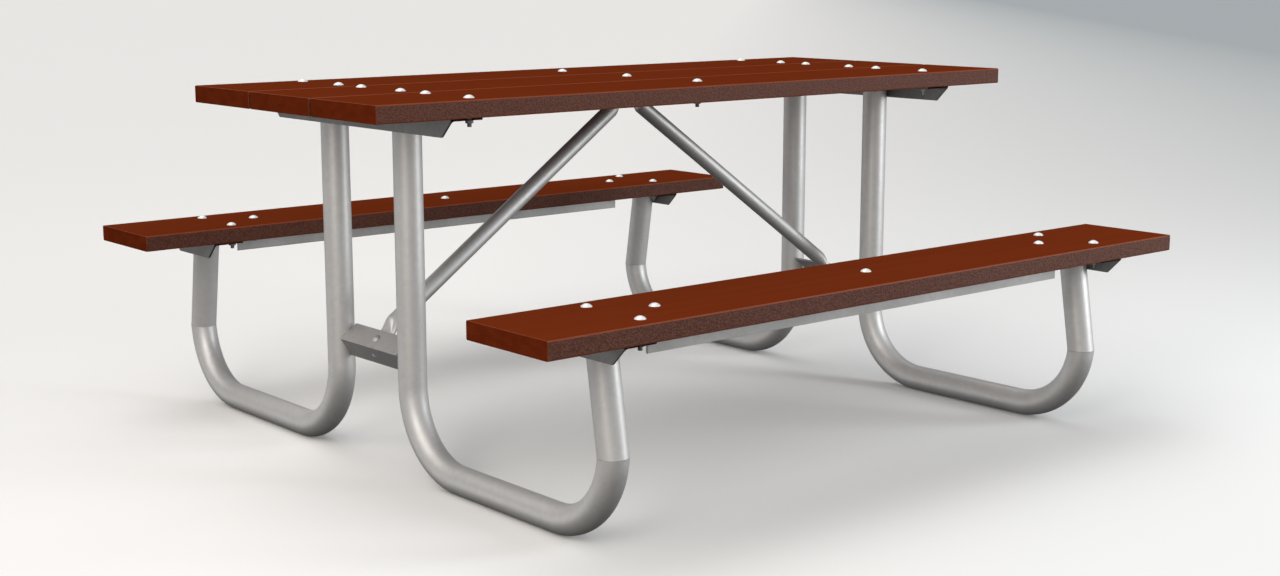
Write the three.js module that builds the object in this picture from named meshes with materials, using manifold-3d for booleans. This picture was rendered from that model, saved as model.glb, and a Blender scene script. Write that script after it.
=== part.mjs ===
// A six-foot picnic table: five plastic-lumber planks bolted to a galvanised steel frame.
//
// Two end frames carry the planks. In each, a bent tube runs down from the table top, along the
// ground and up to a seat on either side; an angle crosses under the top, a smaller angle ties the
// two legs together, and a short angle bracket holds each seat. Two tube braces run from the leg
// ties up to the middle of the top, and an angle stiffens each seat between its brackets.
//
// Frame: millimetres, +X along the planks, +Y from the front seat to the back seat, +Z up, with
// the origin on the ground at the middle of the table. Left is -X and front is -Y.

import * as THREE from 'three';
import { mergeVertices } from 'three/addons/utils/BufferGeometryUtils.js';
import Module from 'manifold-3d';

const wasm = await Module();
wasm.setup();

// ---- Driving dimensions --------------------------------------------------------------------

const GAP = 0.3; // left between pieces that touch

const TABLE_LENGTH = 1828.8;
const TOP_HEIGHT = 804.3;
const SEAT_HEIGHT = 441.3;
const SEAT_OFFSET = 761.2; // from the middle of the table to the middle of a seat

const PLANK_WIDTH = 238.1;
const PLANK_THICKNESS = 36.4;
const PLANK_SPACING = 244.45; // between the middles of neighbouring top planks
const PLANK_EDGE_RADIUS = 3;

const LEG_RADIUS = 30.15; // 2 3/8 inch tube
const LEG_WALL = 3.9;
const LEG_BEND_RADIUS = 167;
const FRAME_OFFSET = 702.8; // from the middle of the table to an end frame
const LEG_OFFSET = 141.3; // from the middle of the table to a leg
const RISER_LEAN = THREE.MathUtils.degToRad(9.2);
const RISER_BEND = THREE.MathUtils.degToRad(85.2); // the ground tube turns this far towards the seat

const STEEL = 4.76; // 3/16 inch angles and bars
const CROSS_ANGLE_LENGTH = 698.5;
const BRACKET_LENGTH = 215.9;
const CROSS_FLANGE = 76.2; // flange under the planks
const CROSS_WEB = 38.1; // flange that hangs outside the tube
const STIFFENER_LENGTH = 1219.2;
const STIFFENER_FLANGE = 44.45;
const BATTEN_LENGTH = 609.6;
const BATTEN_WIDTH = 76.2;
const LEG_TIE_FLANGE = 50.8;
const LEG_TIE_RIDGE_X = 723.5;
const LEG_TIE_RIDGE_Z = 259.7;

const BRACE_RADIUS = 17.46; // 1 3/8 inch tube
const BRACE_WALL = 2.1;
const BRACE_SLOPE = THREE.MathUtils.degToRad(35);
const BRACE_TAB_HALF_WIDTH = 22;
const BRACE_TAB_THICKNESS = 4.6;
const BRACE_FOLD_OFFSET = 31.2; // from the table's middle to the fold of the upper tab

const BOLT_RADIUS = 4.76; // 3/8 inch carriage bolt
const BOLT_LENGTH = 57.15;
const CENTRE_BOLT_LENGTH = 69.85;
const BRACE_BOLT_LENGTH = 25.4;
const BOLT_HEAD_RADIUS = 11.2;
const BOLT_HEAD_HEIGHT = 6.2;
const BOLT_HEAD_RIM = 1;
const NUT_ACROSS_FLATS = 14.3;
const NUT_HEIGHT = 8.3;
const HOLE_RADIUS = 5.3;
const HOLE_SIDES = 8;
const PLANK_BOLT_HALF_SPACING = 76.2; // across the plank, at each end frame
const PLANK_BOLT_X = 674;
const STIFFENER_BOLT_X = 574;

// ---- Materials -----------------------------------------------------------------------------

const plasticLumber = () => new THREE.MeshStandardMaterial({ color: 0x6d2f17, roughness: 0.5, metalness: 0 });
const galvanisedTube = () => new THREE.MeshStandardMaterial({ color: 0xb0b1b0, roughness: 0.42, metalness: 0.85 });
const galvanisedAngle = () => new THREE.MeshStandardMaterial({ color: 0x9b9c9a, roughness: 0.5, metalness: 0.8 });
const zincBolt = () => new THREE.MeshStandardMaterial({ color: 0xd9dbdc, roughness: 0.3, metalness: 0.9 });

// ---- Solids --------------------------------------------------------------------------------

// The geometry as a solid that can be joined and cut.
function solid(geometry) {
  const bare = geometry.clone();
  bare.deleteAttribute('normal');
  bare.deleteAttribute('uv');
  const merged = mergeVertices(bare, 1e-3);
  return new wasm.Manifold(new wasm.Mesh({
    numProp: 3,
    vertProperties: merged.getAttribute('position').array,
    triVerts: new Uint32Array(merged.index.array),
  }));
}

// The solid as a geometry that a mesh can show.
function geometryOf(body) {
  const { vertProperties, triVerts } = body.getMesh();
  const geometry = new THREE.BufferGeometry();
  geometry.setAttribute('position', new THREE.BufferAttribute(vertProperties, 3));
  geometry.setIndex(new THREE.BufferAttribute(triVerts, 1));
  geometry.computeVertexNormals();
  return geometry;
}

// Turns an extrusion so that its outline lies across Y and Z and its length is centred along X.
function alongX(geometry, length) {
  const turn = new THREE.Matrix4().makeBasis(
    new THREE.Vector3(0, 1, 0),
    new THREE.Vector3(0, 0, 1),
    new THREE.Vector3(1, 0, 0),
  );
  return geometry.translate(0, 0, -length / 2).applyMatrix4(turn);
}

function extrudeX(outline, length, curveSegments = 2) {
  const options = { depth: length, bevelEnabled: false, curveSegments };
  return alongX(new THREE.ExtrudeGeometry(outline, options), length);
}

function box(sizeX, sizeY, sizeZ, x, y, z) {
  return new THREE.BoxGeometry(sizeX, sizeY, sizeZ).translate(x, y, z);
}

// A round cutter along Z that reaches past both faces of anything bolted here.
function hole(x, y, z) {
  const depth = 2 * PLANK_THICKNESS;
  const cutter = new THREE.CylinderGeometry(HOLE_RADIUS, HOLE_RADIUS, depth, HOLE_SIDES);
  return solid(cutter.rotateX(Math.PI / 2).translate(x, y, z));
}

function drilled(body, cutters) {
  return cutters.reduce((rest, cutter) => rest.subtract(cutter), body);
}

// ---- Planks --------------------------------------------------------------------------------

const topPlankBolts = [
  [-PLANK_BOLT_X, -PLANK_BOLT_HALF_SPACING],
  [-PLANK_BOLT_X, PLANK_BOLT_HALF_SPACING],
  [0, 0],
  [PLANK_BOLT_X, -PLANK_BOLT_HALF_SPACING],
  [PLANK_BOLT_X, PLANK_BOLT_HALF_SPACING],
];
const seatPlankBolts = [...topPlankBolts, [-STIFFENER_BOLT_X, 0], [STIFFENER_BOLT_X, 0]];

function plankOutline() {
  const right = PLANK_WIDTH / 2 - PLANK_EDGE_RADIUS;
  const top = -PLANK_EDGE_RADIUS;
  const bottom = PLANK_EDGE_RADIUS - PLANK_THICKNESS;
  const outline = new THREE.Shape();
  outline.absarc(right, bottom, PLANK_EDGE_RADIUS, -Math.PI / 2, 0);
  outline.absarc(right, top, PLANK_EDGE_RADIUS, 0, Math.PI / 2);
  outline.absarc(-right, top, PLANK_EDGE_RADIUS, Math.PI / 2, Math.PI);
  outline.absarc(-right, bottom, PLANK_EDGE_RADIUS, Math.PI, Math.PI * 1.5);
  return outline;
}

// A plank whose top face is at z = 0, drilled for its bolts.
function plank(bolts) {
  const blank = solid(extrudeX(plankOutline(), TABLE_LENGTH));
  return geometryOf(drilled(blank, bolts.map(([x, y]) => hole(x, y, -PLANK_THICKNESS / 2))));
}

// ---- Angles, brackets and bars -------------------------------------------------------------

// An angle along Y under the planks: its outer corner is at the origin, one flange lies along +X
// and the other hangs down, with that flange's ends cut back at 45 degrees.
function crossAngle(length, boltYs) {
  const drop = CROSS_WEB - STEEL;
  const web = new THREE.Shape();
  web.moveTo(-length / 2, 0);
  web.lineTo(-length / 2, -STEEL);
  web.lineTo(-length / 2 + drop, -CROSS_WEB);
  web.lineTo(length / 2 - drop, -CROSS_WEB);
  web.lineTo(length / 2, -STEEL);
  web.lineTo(length / 2, 0);
  const flange = box(CROSS_FLANGE, length, STEEL, CROSS_FLANGE / 2, 0, -STEEL / 2);
  const body = solid(flange).add(solid(extrudeX(web, STEEL).translate(STEEL / 2, 0, 0)));
  const boltX = FRAME_OFFSET + LEG_RADIUS + GAP + STEEL - PLANK_BOLT_X;
  return geometryOf(drilled(body, boltYs.map((y) => hole(boltX, y, 0))));
}

// Equal-flanged angle outline: outer corner at the origin, flanges to the right and down.
function equalAngleOutline(flange) {
  const outline = new THREE.Shape();
  outline.moveTo(0, 0);
  outline.lineTo(0, -flange);
  outline.lineTo(STEEL, -flange);
  outline.lineTo(STEEL, -STEEL);
  outline.lineTo(flange, -STEEL);
  outline.lineTo(flange, 0);
  return outline;
}

// The angle under a seat, along X, with its outer corner at the origin.
function seatStiffener() {
  const body = solid(extrudeX(equalAngleOutline(STIFFENER_FLANGE), STIFFENER_LENGTH));
  const boltY = STIFFENER_FLANGE / 2;
  return geometryOf(drilled(body, [-STIFFENER_BOLT_X, 0, STIFFENER_BOLT_X].map((x) => hole(x, boltY, 0))));
}

// The bar that joins the three top planks at mid-length.
function centreBatten() {
  const body = solid(box(BATTEN_WIDTH, BATTEN_LENGTH, STEEL, 0, 0, -STEEL / 2));
  return geometryOf(drilled(body, [-PLANK_SPACING, 0, PLANK_SPACING].map((y) => hole(0, y, 0))));
}

// The angle that ties two legs, along Y, with its ridge at the origin and a hole in each flange.
// It is drawn with one flange level, and its mesh turns it by the braces' slope.
function legTie() {
  const length = 2 * (LEG_OFFSET - LEG_RADIUS - GAP);
  const body = solid(extrudeX(equalAngleOutline(LEG_TIE_FLANGE), length).rotateZ(-Math.PI / 2));
  const upper = hole(LEG_TIE_FLANGE / 2, 0, 0);
  const cutter = new THREE.CylinderGeometry(HOLE_RADIUS, HOLE_RADIUS, 4 * STEEL, HOLE_SIDES);
  const lower = solid(cutter.rotateZ(Math.PI / 2).translate(0, 0, -LEG_TIE_FLANGE / 2));
  return geometryOf(drilled(body, [upper, lower]));
}

// ---- Tubes ---------------------------------------------------------------------------------

// A centreline given by stations, one for each ring of the tube: a point and the direction that
// the ring faces.
class StationCurve extends THREE.Curve {
  constructor(stations) {
    super();
    this.stations = stations;
  }

  blend(t, key) {
    const place = t * (this.stations.length - 1);
    const before = Math.min(Math.floor(place), this.stations.length - 2);
    const [from, to] = [this.stations[before][key], this.stations[before + 1][key]];
    return from.clone().lerp(to, place - before);
  }

  getPoint(t, target = new THREE.Vector3()) {
    return target.copy(this.blend(t, 'point'));
  }

  getTangent(t, target = new THREE.Vector3()) {
    return target.copy(this.blend(t, 'facing')).normalize();
  }

  getUtoTmapping(u) {
    return u;
  }
}

// A regular polygon whose flats are a given distance from the middle, with flats on both axes.
function polygonPoints(flatRadius, sides) {
  const radius = flatRadius / Math.cos(Math.PI / sides);
  return Array.from({ length: sides }, (_, side) => {
    const turn = (2 * Math.PI * (side + 0.5)) / sides;
    return new THREE.Vector2(radius * Math.cos(turn), radius * Math.sin(turn));
  });
}

function tubeOutline(radius, wall, innerSides) {
  const outline = new THREE.Shape(polygonPoints(radius, 12));
  outline.holes.push(new THREE.Path(polygonPoints(radius - wall, innerSides)));
  return outline;
}

function tubeAlong(stations) {
  return new THREE.ExtrudeGeometry(tubeOutline(LEG_RADIUS, LEG_WALL, 8), {
    steps: stations.length - 1,
    extrudePath: new StationCurve(stations),
  });
}

// Points and directions in the end frame's own plane, where out is towards the seat.
const inFrame = (out, up) => new THREE.Vector3(0, -out, up);

const undersideOfTop = TOP_HEIGHT - PLANK_THICKNESS - GAP - STEEL;
const undersideOfSeat = SEAT_HEIGHT - PLANK_THICKNESS - GAP - STEEL;
const kinkUp = LEG_RADIUS + LEG_BEND_RADIUS * (1 - Math.cos(RISER_BEND));
const kinkOut = SEAT_OFFSET + (undersideOfSeat - kinkUp) * Math.tan(RISER_LEAN);
const kinkFacing = (RISER_BEND + Math.PI / 2 + RISER_LEAN) / 2; // turned from level towards the seat

// Rings round an arc from one heading to the other; heading 0 runs level, away from the table.
function bend(centreOut, centreUp, from, to) {
  const rings = 7;
  return Array.from({ length: rings + 1 }, (_, ring) => {
    const heading = from + ((to - from) * ring) / rings;
    return {
      point: inFrame(
        centreOut + LEG_BEND_RADIUS * Math.sin(heading),
        centreUp - LEG_BEND_RADIUS * Math.cos(heading),
      ),
      facing: inFrame(Math.cos(heading), Math.sin(heading)),
    };
  });
}

// Down from the table top, round to the ground, along it and up to the seat riser.
function legTube() {
  const bendUp = LEG_RADIUS + LEG_BEND_RADIUS;
  const legBend = bend(LEG_OFFSET + LEG_BEND_RADIUS, bendUp, -Math.PI / 2, 0);
  const seatBend = bend(kinkOut - LEG_BEND_RADIUS * Math.sin(RISER_BEND), bendUp, 0, RISER_BEND);
  seatBend.at(-1).facing = inFrame(Math.cos(kinkFacing), Math.sin(kinkFacing));
  return tubeAlong([
    { point: inFrame(LEG_OFFSET, undersideOfTop - GAP), facing: inFrame(0, -1) },
    ...legBend,
    ...seatBend,
  ]);
}

// The straight piece from the kink up to the seat bracket, leaning back towards the table.
function seatRiser() {
  const heading = Math.PI / 2 + RISER_LEAN;
  const along = inFrame(Math.cos(heading), Math.sin(heading));
  const foot = inFrame(kinkOut, kinkUp).addScaledVector(along, GAP);
  return tubeAlong([
    { point: foot, facing: inFrame(Math.cos(kinkFacing), Math.sin(kinkFacing)) },
    { point: inFrame(SEAT_OFFSET, undersideOfSeat - GAP), facing: inFrame(0, 1) },
  ]);
}

// ---- Braces --------------------------------------------------------------------------------

// Where a point of the round tube's section goes as the tube is pressed flat, with flatness from
// 0 to 1: the section becomes a rounded bar, wider and thinner, and its bore closes to a slit.
function pressed(point, flatness) {
  const radius = point.length();
  const depth = BRACE_RADIUS - radius * Math.cos(Math.PI / 12); // how far inside the outer flats
  const halfWidth = THREE.MathUtils.lerp(radius, BRACE_TAB_HALF_WIDTH - depth, flatness);
  const halfHeight = THREE.MathUtils.lerp(radius, BRACE_TAB_THICKNESS / 2 - depth, flatness);
  const power = THREE.MathUtils.lerp(1, 1 / 3, flatness);
  const squared = (value) => Math.sign(value) * Math.abs(value / radius) ** power;
  return [halfWidth * squared(point.x), halfHeight * squared(point.y)];
}

// A straight tube blank with a ring at each station, pressed and bent in the plane of X and Z.
function pressedTube(stations) {
  const length = stations.length - 1;
  const outline = tubeOutline(BRACE_RADIUS, BRACE_WALL, 12);
  const blank = new THREE.ExtrudeGeometry(outline, { depth: length, steps: length, bevelEnabled: false });
  const position = blank.getAttribute('position');
  for (let i = 0; i < position.count; i += 1) {
    const { x, z, slope, flatness } = stations[Math.round(position.getZ(i))];
    const [across, proud] = pressed(new THREE.Vector2(position.getX(i), position.getY(i)), flatness);
    position.setXYZ(i, x - proud * Math.sin(slope), across, z + proud * Math.cos(slope));
  }
  return blank;
}

const tabDepth = STEEL + GAP + BRACE_TAB_THICKNESS / 2; // from a leg tie's face to the tab's middle
const uphill = new THREE.Vector2(Math.cos(BRACE_SLOPE), Math.sin(BRACE_SLOPE));
const facingUp = new THREE.Vector2(-uphill.y, uphill.x);
const braceBoltOnTie = new THREE.Vector2(-LEG_TIE_RIDGE_X, LEG_TIE_RIDGE_Z)
  .addScaledVector(uphill, LEG_TIE_FLANGE / 2);
const lowerTab = braceBoltOnTie.clone().addScaledVector(facingUp, -tabDepth);
const upperTabHeight = undersideOfTop - GAP - BRACE_TAB_THICKNESS / 2;

// The left brace's tube, from under its leg tie up to the middle of the table. Its lower tab lies
// under the tie's upper flange and its upper tab lies level, a given drop below the batten. The
// tube's upper wall stays straight up to the fold where it meets the tab's top face.
function braceTube(drop) {
  const alongTie = (distance, rise, flatness) => {
    const point = lowerTab.clone().addScaledVector(uphill, distance).addScaledVector(facingUp, rise);
    return { x: point.x, z: point.y, slope: BRACE_SLOPE, flatness };
  };
  const fold = new THREE.Vector2(
    -BRACE_FOLD_OFFSET - drop / Math.tan(BRACE_SLOPE),
    upperTabHeight - drop + BRACE_TAB_THICKNESS / 2,
  );
  const belowFold = (distance, flatness, slope = BRACE_SLOPE) => {
    const halfHeight = THREE.MathUtils.lerp(BRACE_RADIUS, BRACE_TAB_THICKNESS / 2, flatness);
    const point = fold.clone().addScaledVector(uphill, -distance);
    const x = point.x + halfHeight * Math.sin(slope);
    return { x, z: point.y - halfHeight * Math.cos(slope), slope, flatness };
  };
  const upperTab = (x) => ({ x, z: upperTabHeight - drop, slope: 0, flatness: 1 });
  return pressedTube([
    alongTie(-16, 0, 1),
    alongTie(26, 0, 1),
    alongTie(31, -0.6, 0.82),
    alongTie(36, -0.6, 0.5),
    alongTie(42, 1.8, 0.24),
    alongTie(49, 4.3, 0.07),
    alongTie(56, 5.4, 0),
    belowFold(26, 0),
    belowFold(18, 0.14),
    belowFold(11, 0.45),
    belowFold(5, 0.8),
    belowFold(0, 1, BRACE_SLOPE / 2),
    upperTab(fold.x + 8),
    upperTab(16),
  ]);
}

// A brace with a bolt hole drilled through each of its tabs.
function brace(drop) {
  const depth = 4 * BRACE_TAB_THICKNESS;
  const cutter = new THREE.CylinderGeometry(HOLE_RADIUS, HOLE_RADIUS, depth, HOLE_SIDES);
  cutter.rotateX(Math.PI / 2);
  const upper = solid(cutter.clone().translate(0, 0, upperTabHeight - drop));
  const lower = solid(cutter.clone().rotateY(-BRACE_SLOPE).translate(lowerTab.x, 0, lowerTab.y));
  return geometryOf(drilled(solid(braceTube(drop)), [upper, lower]));
}

// ---- Bolts ---------------------------------------------------------------------------------

// A domed carriage bolt hanging from z = 0 with its hex nut run up under the grip.
function carriageBolt(length, grip) {
  const domeRise = BOLT_HEAD_HEIGHT - BOLT_HEAD_RIM;
  const domeRadius = (BOLT_HEAD_RADIUS ** 2 + domeRise ** 2) / (2 * domeRise);
  const domeTurn = Math.asin(BOLT_HEAD_RADIUS / domeRadius);
  const dome = [0, 0.5, 1].map((part) => new THREE.Vector2(
    domeRadius * Math.sin(domeTurn * part),
    BOLT_HEAD_HEIGHT - domeRadius * (1 - Math.cos(domeTurn * part)),
  ));
  const profile = [
    ...dome,
    new THREE.Vector2(BOLT_HEAD_RADIUS, 0),
    new THREE.Vector2(BOLT_RADIUS, 0),
    new THREE.Vector2(BOLT_RADIUS, -length),
    new THREE.Vector2(0, -length),
  ].reverse();
  profile[0].x = 0;
  const bolt = solid(new THREE.LatheGeometry(profile, 8).rotateX(Math.PI / 2));
  const nutRadius = NUT_ACROSS_FLATS / Math.sqrt(3);
  const nut = new THREE.CylinderGeometry(nutRadius, nutRadius, NUT_HEIGHT, 6);
  return geometryOf(bolt.add(solid(nut.rotateX(Math.PI / 2).translate(0, 0, -grip - NUT_HEIGHT / 2))));
}

// ---- Assembly ------------------------------------------------------------------------------

const table = new THREE.Group();

function add(name, geometry, material, x = 0, y = 0, z = 0) {
  const mesh = new THREE.Mesh(geometry, material);
  mesh.name = name;
  mesh.position.set(x, y, z);
  table.add(mesh);
  return mesh;
}

// Each pair of opposites: the second is the first turned half a turn about the table's middle.
const ends = [['left', -1], ['right', 1]];
const seats = [['front', -1], ['back', 1]];
const halfTurn = (sign) => (sign > 0 ? Math.PI : 0);

const topPlanks = [['front', -1], ['middle', 0], ['back', 1]];
topPlanks.forEach(([name, row]) => {
  add(`top_plank_${name}`, plank(topPlankBolts), plasticLumber(), 0, row * PLANK_SPACING, TOP_HEIGHT);
});
seats.forEach(([name, sign]) => {
  add(`seat_plank_${name}`, plank(seatPlankBolts), plasticLumber(), 0, sign * SEAT_OFFSET, SEAT_HEIGHT);
});

const outerFace = FRAME_OFFSET + LEG_RADIUS + GAP + STEEL;
const topBoltYs = topPlanks.flatMap(([, row]) => [-1, 1].map(
  (side) => row * PLANK_SPACING + side * PLANK_BOLT_HALF_SPACING,
));
ends.forEach(([end, sign]) => {
  const angle = add(
    `top_cross_angle_${end}`,
    crossAngle(CROSS_ANGLE_LENGTH, topBoltYs),
    galvanisedAngle(),
    sign * outerFace,
    0,
    undersideOfTop + STEEL,
  );
  angle.rotation.z = halfTurn(sign);
});
add('centre_batten', centreBatten(), galvanisedAngle(), 0, 0, undersideOfTop + STEEL);

seats.forEach(([seat, seatSign]) => {
  ends.forEach(([end, endSign]) => {
    const bracket = add(
      `seat_bracket_${seat}_${end}`,
      crossAngle(BRACKET_LENGTH, [-PLANK_BOLT_HALF_SPACING, PLANK_BOLT_HALF_SPACING]),
      galvanisedAngle(),
      endSign * outerFace,
      seatSign * SEAT_OFFSET,
      undersideOfSeat + STEEL,
    );
    bracket.rotation.z = halfTurn(endSign);
    const leg = add(`leg_tube_${seat}_${end}`, legTube(), galvanisedTube(), endSign * FRAME_OFFSET);
    leg.rotation.z = halfTurn(seatSign);
    const riser = add(`seat_riser_${seat}_${end}`, seatRiser(), galvanisedTube(), endSign * FRAME_OFFSET);
    riser.rotation.z = halfTurn(seatSign);
  });
  const stiffener = add(
    `seat_stiffener_${seat}`,
    seatStiffener(),
    galvanisedAngle(),
    0,
    seatSign * (SEAT_OFFSET + STIFFENER_FLANGE / 2),
    undersideOfSeat + STEEL,
  );
  stiffener.rotation.z = halfTurn(seatSign);
});

// The left brace's upper tab lies under the right one's, on the same bolt.
const braceDrops = { left: BRACE_TAB_THICKNESS + GAP, right: 0 };
ends.forEach(([end, sign]) => {
  const tie = add(
    `leg_tie_angle_${end}`,
    legTie(),
    galvanisedAngle(),
    sign * LEG_TIE_RIDGE_X,
    0,
    LEG_TIE_RIDGE_Z,
  );
  tie.rotation.set(0, -BRACE_SLOPE, halfTurn(sign), 'ZYX');
  const tube = add(`brace_tube_${end}`, brace(braceDrops[end]), galvanisedTube());
  tube.rotation.z = halfTurn(sign);
  const head = braceBoltOnTie.clone().addScaledVector(facingUp, GAP);
  const bolt = add(
    `brace_bolt_${end}`,
    carriageBolt(BRACE_BOLT_LENGTH, GAP + tabDepth + BRACE_TAB_THICKNESS / 2 + GAP),
    zincBolt(),
    -sign * head.x,
    0,
    head.y,
  );
  bolt.rotation.set(0, -BRACE_SLOPE, halfTurn(sign), 'ZYX');
});

const plankGrip = GAP + PLANK_THICKNESS + GAP + STEEL + GAP;
const tabsGrip = 2 * (BRACE_TAB_THICKNESS + GAP);
topPlanks.forEach(([name, row]) => {
  topPlankBolts.forEach(([x, y], number) => {
    const holdsBraces = row === 0 && x === 0;
    const bolt = holdsBraces
      ? carriageBolt(CENTRE_BOLT_LENGTH, plankGrip + tabsGrip)
      : carriageBolt(BOLT_LENGTH, plankGrip);
    add(`top_bolt_${name}_${number + 1}`, bolt, zincBolt(), x, row * PLANK_SPACING + y, TOP_HEIGHT + GAP);
  });
});
seats.forEach(([name, sign]) => {
  seatPlankBolts.forEach(([x, y], number) => {
    const bolt = carriageBolt(BOLT_LENGTH, plankGrip);
    add(`seat_bolt_${name}_${number + 1}`, bolt, zincBolt(), x, sign * SEAT_OFFSET + y, SEAT_HEIGHT + GAP);
  });
});

export default table;
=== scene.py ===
"""A six-foot picnic table: red-brown plastic planks on a galvanised steel tube frame."""
import math

import bmesh
import bpy
from mathutils import Matrix, Vector


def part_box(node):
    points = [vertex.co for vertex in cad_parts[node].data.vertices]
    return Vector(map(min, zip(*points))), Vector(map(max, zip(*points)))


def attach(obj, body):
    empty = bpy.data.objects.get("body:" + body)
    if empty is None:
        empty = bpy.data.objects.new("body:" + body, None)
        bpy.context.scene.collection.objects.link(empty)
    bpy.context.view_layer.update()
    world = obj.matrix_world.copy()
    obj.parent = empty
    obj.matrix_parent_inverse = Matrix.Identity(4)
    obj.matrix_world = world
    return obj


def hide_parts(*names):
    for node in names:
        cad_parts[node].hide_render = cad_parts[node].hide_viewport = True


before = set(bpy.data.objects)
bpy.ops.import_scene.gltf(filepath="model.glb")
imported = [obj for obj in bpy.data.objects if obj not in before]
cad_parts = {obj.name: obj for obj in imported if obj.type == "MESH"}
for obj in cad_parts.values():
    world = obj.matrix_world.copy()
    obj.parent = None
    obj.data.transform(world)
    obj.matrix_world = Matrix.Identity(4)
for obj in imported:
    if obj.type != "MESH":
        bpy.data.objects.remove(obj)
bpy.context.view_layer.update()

MM = 0.001
SEATS = {"front": -1, "back": 1}
ENDS = {"left": -1, "right": 1}

# ---- Sizes that the frame's boxes don't tell ------------------------------------------------

PLANK_EDGE_RADIUS = 3.2 * MM
PLANK_END_ROUNDING = 1.4 * MM

TUBE_SIDES = 64
LEG_WALL = 3.9 * MM
LEG_BEND_RADIUS = 167 * MM
SEAT_BEND = math.radians(85.2)
RISER_LEAN = math.radians(9.2)
BEND_RINGS = 28

STEEL = 4.76 * MM
ANGLE_ROOT_RADIUS = 4.5 * MM
ANGLE_TOE_RADIUS = 2.2 * MM
ANGLE_EDGE_ROUNDING = 0.5 * MM

BRACE_SLOPE = math.radians(35)
BRACE_RADIUS = 17.46 * MM
BRACE_WALL = 2.1 * MM
TAB_HALF_WIDTH = 22 * MM
TAB_THICKNESS = 4.6 * MM
BRACE_FOLD_OFFSET = 31.2 * MM
GAP = 0.3 * MM

BOLT_RADIUS = 4.76 * MM
DOME_RADIUS = 11.2 * MM
DOME_RIM = 0.8 * MM
NUT_ACROSS_FLATS = 14.3 * MM
NUT_HEIGHT = 8.3 * MM
THREAD_PITCH = 1.5875 * MM
THREAD_DEPTH = 0.8 * MM
BRACE_BOLT_LENGTH = 25.4 * MM
BRACE_BOLT_HEAD = 6.2 * MM
DRILL_RADIUS = 5.3 * MM

WELD_RADIUS = 1.9 * MM
KINK_WELD_RADIUS = 0.75 * MM
TIE_WELD_RADIUS = 1.6 * MM
WELD_STEP = 1.5 * MM


# ---- Materials ------------------------------------------------------------------------------

class Nodes:
    """A node tree, with short calls for the nodes used here."""

    def __init__(self, tree):
        self.tree = tree

    def add(self, kind, **settings):
        node = self.tree.nodes.new(kind)
        for key, value in settings.items():
            setattr(node, key, value)
        return node

    def link(self, source, target):
        self.tree.links.new(source, target)

    def place(self, scale):
        """The point on the object in metres, stretched by scale along each axis."""
        coordinates = self.add("ShaderNodeTexCoord")
        mapping = self.add("ShaderNodeMapping")
        mapping.inputs["Scale"].default_value = scale
        self.link(coordinates.outputs["Object"], mapping.inputs["Vector"])
        return mapping.outputs["Vector"]

    def noise(self, scale, detail=3.0, roughness=0.5):
        node = self.add("ShaderNodeTexNoise")
        node.inputs["Scale"].default_value = 1.0
        node.inputs["Detail"].default_value = detail
        node.inputs["Roughness"].default_value = roughness
        self.link(self.place(scale), node.inputs["Vector"])
        return node.outputs["Fac"]

    def cells(self, scale, output):
        node = self.add("ShaderNodeTexVoronoi")
        node.inputs["Scale"].default_value = 1.0
        self.link(self.place(scale), node.inputs["Vector"])
        return node.outputs[output]

    def range(self, value, low, high, out_low, out_high):
        node = self.add("ShaderNodeMapRange")
        self.link(value, node.inputs["Value"])
        limits = {"From Min": low, "From Max": high, "To Min": out_low, "To Max": out_high}
        for key, number in limits.items():
            node.inputs[key].default_value = number
        return node.outputs["Result"]

    def mix(self, factor, first, second, blend="MIX"):
        """Two colours, each a socket or a colour, mixed by a factor, a socket or a number."""
        node = self.add("ShaderNodeMix", data_type="RGBA", blend_type=blend)
        for value, key in ((factor, 0), (first, 6), (second, 7)):
            if isinstance(value, bpy.types.NodeSocket):
                self.link(value, node.inputs[key])
            elif key == 0:
                node.inputs[key].default_value = value
            else:
                node.inputs[key].default_value = (*value, 1.0)
        return node.outputs[2]

    def bump(self, height, distance, strength=1.0, after=None):
        node = self.add("ShaderNodeBump")
        node.inputs["Distance"].default_value = distance
        node.inputs["Strength"].default_value = strength
        self.link(height, node.inputs["Height"])
        if after is not None:
            self.link(after, node.inputs["Normal"])
        return node.outputs["Normal"]

    def facing(self, vector, direction):
        """The dot product of a vector socket and a fixed direction."""
        node = self.add("ShaderNodeVectorMath", operation="DOT_PRODUCT")
        node.inputs[1].default_value = direction
        self.link(vector, node.inputs[0])
        return node.outputs["Value"]


class Surface(Nodes):
    """A material of one Principled shader."""

    def __init__(self, name):
        self.material = bpy.data.materials.new(name)
        self.material.use_nodes = True
        super().__init__(self.material.node_tree)
        self.shader = self.tree.nodes["Principled BSDF"]

    def finish(self, colour, roughness, normal, **constants):
        self.link(colour, self.shader.inputs["Base Color"])
        self.link(roughness, self.shader.inputs["Roughness"])
        self.link(normal, self.shader.inputs["Normal"])
        for key, value in constants.items():
            self.shader.inputs[key.replace("_", " ")].default_value = value
        return self.material


def lumber_face():
    """The smooth moulded faces of a plank, with the faint flow lines of the extrusion."""
    n = Surface("lumber_face")
    flow = n.noise((2.2, 46.0, 46.0), detail=4.0)
    cloud = n.noise((3.0, 9.0, 9.0), detail=2.0)
    grain = n.noise((60.0, 900.0, 900.0), detail=2.0)
    streaked = n.mix(n.range(flow, 0.35, 0.65, 0, 1), (0.140, 0.0232, 0.0058), (0.152, 0.0258, 0.0065))
    colour = n.mix(n.range(cloud, 0.35, 0.65, 0, 0.35), streaked, (0.140, 0.0232, 0.0057))
    roughness = n.range(flow, 0.3, 0.7, 0.50, 0.62)
    smooth = n.bump(flow, 0.0003, 0.35)
    normal = n.bump(grain, 0.00008, 0.5, after=smooth)
    return n.finish(colour, roughness, normal, Specular_IOR_Level=0.0)


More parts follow.
